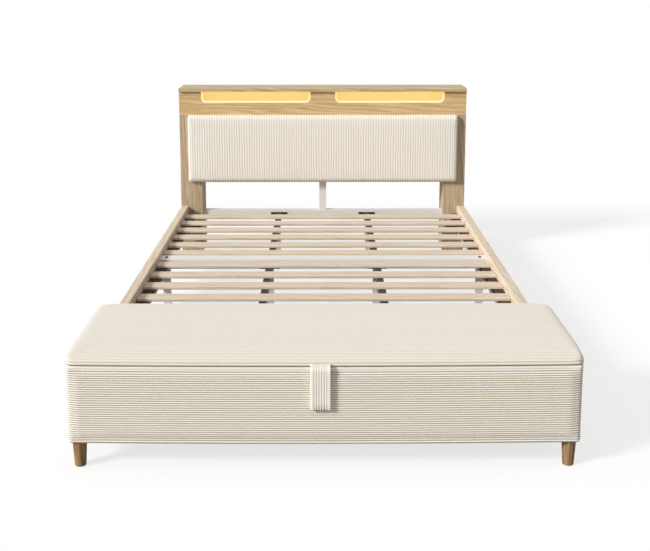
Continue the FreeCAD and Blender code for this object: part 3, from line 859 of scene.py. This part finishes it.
def wood(name, grain, tones, figure, roughness):
    """Wood with growth rings, streaks and pores along one axis."""
    recipe = Recipe(name)
    middle = tones[1]

    def stretched(across, along):
        """Places scaled by one factor across the grain and by another along it."""
        scale = [across] * len(axis_names)
        scale[grain] = along
        return recipe.scaled(scale)

    warp = recipe.noise(stretched(across=9, along=1.3), detail=2.0)
    rings = recipe.wave(stretched(across=1.0, along=0.06), scale=34.0, distortion=11.0, detail=3.0,
                        detail_scale=0.9)
    streaks = recipe.noise(stretched(across=240, along=4.5), detail=4.0, roughness=0.6)
    pores = recipe.noise(stretched(across=900, along=22), detail=2.0)
    body = recipe.math("ADD", recipe.math("MULTIPLY", rings, figure),
                       recipe.between(streaks, low=0.0, high=1.0 - figure))
    tone = recipe.ramp(body, zip(tone_stops, tones))
    tone = recipe.mix(recipe.between(warp, low=0.0, high=0.5), tone, middle)
    pore_tone = recipe.ramp(pores, zip(pore_stops, (pore_colour, white)))
    recipe.set(Base_Color=recipe.mix(pore_share, tone, pore_tone, "MULTIPLY"),
               Roughness=recipe.between(streaks, low=roughness - 0.08, high=roughness + 0.1),
               Specular_IOR_Level=wood_gloss)
    recipe.bump(recipe.math("ADD", streaks, pores), strength=0.22, distance=0.0006)
    return recipe.material


def corduroy():
    """Ivory corduroy: pale crests, grooves and edges darkened by painted shade, short fibres and a soft
    sheen.
    """
    recipe = Recipe("corduroy")
    fibres = recipe.noise(recipe.place, scale=1700.0, detail=3.0, roughness=0.7)
    mottle = recipe.noise(recipe.place, scale=14.0, detail=3.0, roughness=0.6)
    nap = recipe.noise(recipe.place, scale=220.0, detail=2.0)
    tone = recipe.ramp(recipe.attribute("rib"), ((0.0, groove_shade_colour), (1.0, crest_colour)))
    tone = recipe.mix(recipe.between(fibres, low=0.0, high=0.10), tone, fibre_colour)
    tone = recipe.mix(recipe.between(mottle, low=0.0, high=0.10), tone, mottle_colour)
    recipe.set(Base_Color=tone, Roughness=recipe.between(nap, low=0.82, high=0.96), Sheen_Weight=0.18,
               Sheen_Roughness=0.45, Specular_IOR_Level=0.15)
    recipe.bump(recipe.math("ADD", fibres, nap), strength=0.35, distance=0.0005)
    return recipe.material


def coated_steel(name, colour, worn, roughness):
    """Powder-coated steel with the coat's fine orange peel and faint rubbed patches."""
    recipe = Recipe(name)
    peel = recipe.noise(recipe.place, scale=750.0, detail=2.0)
    rub = recipe.noise(recipe.place, scale=9.0, detail=4.0, roughness=0.65)
    recipe.set(Base_Color=recipe.mix(recipe.between(rub, low=0.0, high=0.5), colour, worn),
               Roughness=recipe.between(peel, low=roughness - 0.06, high=roughness + 0.08),
               Specular_IOR_Level=0.4)
    recipe.bump(peel, strength=0.12, distance=0.0003)
    return recipe.material


def zinc(name, colour, dull):
    """Zinc-plated steel with rolled streaks."""
    recipe = Recipe(name)
    streaks = recipe.noise(recipe.scaled((30, 900, 900)), detail=3.0)
    patches = recipe.noise(recipe.place, scale=60.0, detail=3.0)
    recipe.set(Base_Color=recipe.mix(recipe.between(patches, low=0.0, high=0.6), colour, dull),
               Roughness=recipe.between(streaks, low=0.28, high=0.45), Metallic=1.0)
    recipe.bump(streaks, strength=0.1, distance=0.0002)
    return recipe.material


def moulded(name, colour, worn):
    """Moulded matt plastic with a fine spark-eroded grain."""
    recipe = Recipe(name)
    grain = recipe.noise(recipe.place, scale=1400.0, detail=2.0)
    rub = recipe.noise(recipe.place, scale=40.0)
    recipe.set(Base_Color=recipe.mix(recipe.between(rub, low=0.0, high=0.5), colour, worn),
               Roughness=recipe.between(grain, low=0.5, high=0.68))
    recipe.bump(grain, strength=0.15, distance=0.0002)
    return recipe.material


def lit(name, colour, glow, deep, strength, rise=None):
    """A surface in the niche's warm light: paler and deeper patches of glow, or deeper up its rise."""
    recipe = Recipe(name)
    drift = recipe.height(*rise) if rise else recipe.noise(recipe.scaled((6, 30, 40)), detail=2.0)
    recipe.set(Base_Color=recipe.mix(recipe.between(drift, low=0.0, high=0.3), colour, deep),
               Emission_Color=recipe.mix(recipe.between(drift, low=0.0, high=0.8), glow, deep),
               Emission_Strength=strength, Roughness=0.6)
    recipe.bump(recipe.noise(recipe.place, scale=500.0), strength=0.05, distance=0.0002)
    return recipe.material


oak_tones = (srgb(191, 156, 108), srgb(218, 186, 137), srgb(234, 207, 163))
# The cap's darker, greyer copy of the oak is painted shade that offsets the key lamp on its top
shaded_cap_tones = (srgb(176, 151, 112), srgb(200, 179, 141), srgb(216, 200, 167))
leg_tones = (srgb(169, 146, 114), srgb(193, 172, 142), srgb(209, 190, 163))
pale_tones = (srgb(208, 187, 162), srgb(226, 209, 187), srgb(238, 225, 207))
# The feet's own brown wood, made darker still by painted shade
foot_tones = (srgb(124, 94, 62), srgb(152, 122, 87), srgb(174, 145, 107))
# The slat ledgers' near-black browns are painted shade for the shadow under the slats
ledger_shade_tones = (srgb(66, 48, 35), srgb(84, 63, 47), srgb(100, 77, 58))
panel_tones = (srgb(190, 164, 124), srgb(208, 184, 146), srgb(222, 202, 168))
# The dark colour is the grooves' painted shade; the pale one is the crests' own ivory
groove_shade_colour = srgb(140, 116, 73)
crest_colour = srgb(255, 250, 241)
fibre_colour = srgb(208, 197, 177)
mottle_colour = srgb(232, 224, 209)
lens_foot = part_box("left_light_lens")[0].z
lens_rise = (lens_foot + lens_glow_start, lens_foot + lens_glow_end)
materials = {
    "corduroy": corduroy(),
    "white_steel": coated_steel("white_steel", srgb(236, 232, 228), srgb(226, 221, 216), roughness=0.42),
    "dark_steel": coated_steel("dark_steel", srgb(34, 25, 20), srgb(48, 37, 31), roughness=0.55),
    "hinge_steel": zinc("hinge_steel", srgb(196, 197, 198), srgb(160, 163, 168)),
    "black_plastic": moulded("black_plastic", srgb(38, 37, 36), srgb(54, 53, 51)),
    "light_lens": lit("light_lens", srgb(110, 98, 64), srgb(255, 245, 198), srgb(255, 218, 136),
                      strength=0.86, rise=lens_rise),
    "niche_glow": lit("niche_glow", srgb(240, 205, 140), srgb(254, 224, 148), srgb(253, 212, 124),
                      strength=0.62),
    "led_tape": lit("led_tape", srgb(255, 244, 214), srgb(255, 240, 196), srgb(255, 226, 150),
                    strength=1.0),
}

# Tones of each wood, how much its rings show, and its roughness
woods = {
    "oak": (oak_tones, 0.26, 0.5),
    "leg_oak": (leg_tones, 0.26, 0.5),
    "shaded_cap_oak": (shaded_cap_tones, 0.26, 0.5),
    "pale_wood": (pale_tones, 0.2, 0.62),
    "foot_wood": (foot_tones, 0.25, 0.45),
    "shaded_ledger_wood": (ledger_shade_tones, 0.2, 0.62),
    "panel_board": (panel_tones, 0.25, 0.6),
}


def wood_along(slot, grain):
    """A wood's material with its grain along one axis, made where it is first needed."""
    name = slot + "_" + axis_names[grain]
    if name not in materials:
        materials[name] = wood(name, grain, *woods[slot])
    return materials[name]


def finish_cad_nodes():
    """Give each carried-over solid the procedural finish of its slot, with the grain along its length;
    the slat ledgers' wood and the cap's darker oak carry painted shade.
    """
    upright = axis_names.index("z")
    for name, node in nodes.items():
        slot = node.material_slots[0].material.name
        if slot in woods:
            low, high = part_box(name)
            size = list(high - low)
            grain = upright if name == "bench_feet" else size.index(max(size))
            # The slat ledgers take a wood darkened as painted shade
            if name.endswith("slat_ledger"):
                slot = "shaded_ledger_wood"
            # The cap takes the darker copy of the oak, painted shade
            elif name == "headboard_cap":
                slot = "shaded_cap_oak"
            elif slot == "oak" and grain == upright:
                slot = "leg_oak"
            node.material_slots[0].material = wood_along(slot, grain)
        elif slot in materials:
            node.material_slots[0].material = materials[slot]


def screw_head(form, centre, right, up):
    """A countersunk screw head with a crossed recess, lying on a face."""
    out = right.cross(up)

    def ring(radii, height):
        """Points round the head at one height, one for each of the radii."""
        points = []
        for index, radius in enumerate(radii):
            turn = 2 * math.pi * index / screw_sides
            offset = right * (radius * math.cos(turn)) + up * (radius * math.sin(turn)) + out * height
            points.append(form.verts.new(centre + offset))
        return points

    edge = [screw_radius] * screw_sides
    top = [screw_radius * screw_top_share] * screw_sides
    recess = [screw_radius * recess_root_share] * screw_sides
    recess[::screw_sides // recess_arms] = [screw_radius * recess_tip_share] * recess_arms
    recess_rim = screw_height * recess_rim_share
    rings = (
        ring(edge, 0),
        ring(edge, screw_height * screw_edge_share),
        ring(top, screw_height),
        ring(recess, recess_rim),
        ring(recess, recess_rim - screw_height * recess_depth_share),
    )
    for lower, upper in zip(rings, rings[1:]):
        for index in range(screw_sides):
            beside = (index + 1) % screw_sides
            form.faces.new((lower[index], lower[beside], upper[beside], upper[index]))
    form.faces.new(rings[-1])
    form.faces.new(rings[0][::-1])


def make_screws(name, places, right, up, body, slot):
    """One piece of screw heads, each seated on its face."""
    form = bmesh.new()
    for place in places:
        screw_head(form, place, right, up)
    bmesh.ops.recalc_face_normals(form, faces=form.faces)
    mesh = bpy.data.meshes.new(name)
    form.to_mesh(mesh)
    form.free()
    mesh.materials.append(materials[slot])
    piece = bpy.data.objects.new(name, mesh)
    bpy.context.scene.collection.objects.link(piece)
    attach(piece, body)


def make_fasteners():
    """Screw heads at the slats' ends and round the edge of the back panel."""
    x_axis, y_axis, z_axis = (Vector(axis) for axis in ((1, 0, 0), (0, 1, 0), (0, 0, 1)))
    ledger_low, ledger_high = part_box("right_slat_ledger")
    reach = (ledger_low.x + ledger_high.x) / 2
    places = []
    for name in sorted(nodes):
        if name.startswith("slat_"):
            low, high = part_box(name)
            for side in (-1, 1):
                places.append(Vector((side * reach, (low.y + high.y) / 2, high.z)))
    make_screws("slat_screws", places, x_axis, y_axis, "frame", "hinge_steel")

    low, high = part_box("headboard_back_panel")
    edge = back_screw_inset
    places = []
    for index in range(back_screws_across):
        x = low.x + edge + (high.x - low.x - 2 * edge) * index / (back_screws_across - 1)
        places.append(Vector((x, high.y, high.z - edge)))
        places.append(Vector((x, high.y, low.z + edge)))
    for x in (low.x + edge, high.x - edge):
        places.append(Vector((x, high.y, (low.z + high.z) / 2)))
    make_screws("back_panel_screws", places, -x_axis, z_axis, "frame", "hinge_steel")


def seen_rays(tree):
    """1 for rays that show the white studio, to the camera or by gloss or glass, and 0 for other rays."""
    path = tree.nodes.new("ShaderNodeLightPath")
    seen = path.outputs["Is Camera Ray"]
    for name in ("Is Glossy Ray", "Is Transmission Ray"):
        either = tree.nodes.new("ShaderNodeMath")
        either.operation = "MAXIMUM"
        tree.links.new(seen, either.inputs[0])
        tree.links.new(path.outputs[name], either.inputs[1])
        seen = either.outputs[0]
    return seen


def make_stage():
    """A plain pale floor that keeps the bed's shadow."""
    half = floor_size / 2
    corners = [(x * half, y * half, -floor_drop) for x, y in ((-1, -1), (1, -1), (1, 1), (-1, 1))]
    mesh = bpy.data.meshes.new("floor")
    mesh.from_pydata(corners, [], [range(len(corners))])
    floor = bpy.data.objects.new("floor", mesh)
    bpy.context.scene.collection.objects.link(floor)
    recipe = Recipe("floor")
    seen = seen_rays(recipe.tree)
    recipe.set(Base_Color=recipe.mix(seen, floor_bounce, floor_white), Roughness=floor_roughness,
               Specular_IOR_Level=0.0, Emission_Color=white,
               Emission_Strength=recipe.between(seen, low=0.0, high=floor_glow))
    mesh.materials.append(recipe.material)


def make_lights():
    """The key lamp, and a world whose dome lights the bed while its backdrop looks white."""
    sun = bpy.data.lights.new("key", "SUN")
    sun.energy = key_strength
    sun.angle = key_angle
    lamp = bpy.data.objects.new("key", sun)
    lamp.rotation_mode = "QUATERNION"
    lamp.rotation_quaternion = Vector(key_direction).to_track_quat("Z", "Y")
    bpy.context.scene.collection.objects.link(lamp)

    world = bpy.data.worlds.new("studio")
    bpy.context.scene.world = world
    world.use_nodes = True
    tree = world.node_tree
    dome = tree.nodes["Background"]
    dome.inputs["Color"].default_value = dome_colour
    split = tree.nodes.new("ShaderNodeSeparateXYZ")
    tree.links.new(tree.nodes.new("ShaderNodeTexCoord").outputs["Generated"], split.inputs[0])
    slope = tree.nodes.new("ShaderNodeMapRange")
    tree.links.new(split.outputs["X"], slope.inputs["Value"])
    slope.inputs["From Min"].default_value = -1.0
    slope.inputs["To Min"].default_value = dome_left
    slope.inputs["To Max"].default_value = dome_right
    tree.links.new(slope.outputs[0], dome.inputs["Strength"])
    backdrop = tree.nodes.new("ShaderNodeBackground")
    backdrop.inputs["Color"].default_value = white
    backdrop.inputs["Strength"].default_value = 1.0
    choose = tree.nodes.new("ShaderNodeMixShader")
    tree.links.new(seen_rays(tree), choose.inputs[0])
    tree.links.new(dome.outputs[0], choose.inputs[1])
    tree.links.new(backdrop.outputs[0], choose.inputs[2])
    tree.links.new(choose.outputs[0], tree.nodes["World Output"].inputs["Surface"])


def make_camera():
    """The main camera, which looks from the foot of the bed."""
    camera = bpy.data.cameras.new("camera")
    camera.lens = camera_lens
    camera.sensor_width = camera_sensor
    camera.shift_y = camera_shift
    holder = bpy.data.objects.new("camera", camera)
    holder.location = camera_place
    holder.rotation_euler = (math.pi / 2 - camera_pitch, 0, camera_turn)
    bpy.context.scene.collection.objects.link(holder)
    bpy.context.scene.camera = holder


bpy.context.scene.view_settings.view_transform = "Standard"
make_camera()
make_lights()
make_stage()
finish_cad_nodes()
make_headboard_pad()
make_lid_cushion()
make_bench_cover()
make_strap()
make_fasteners()
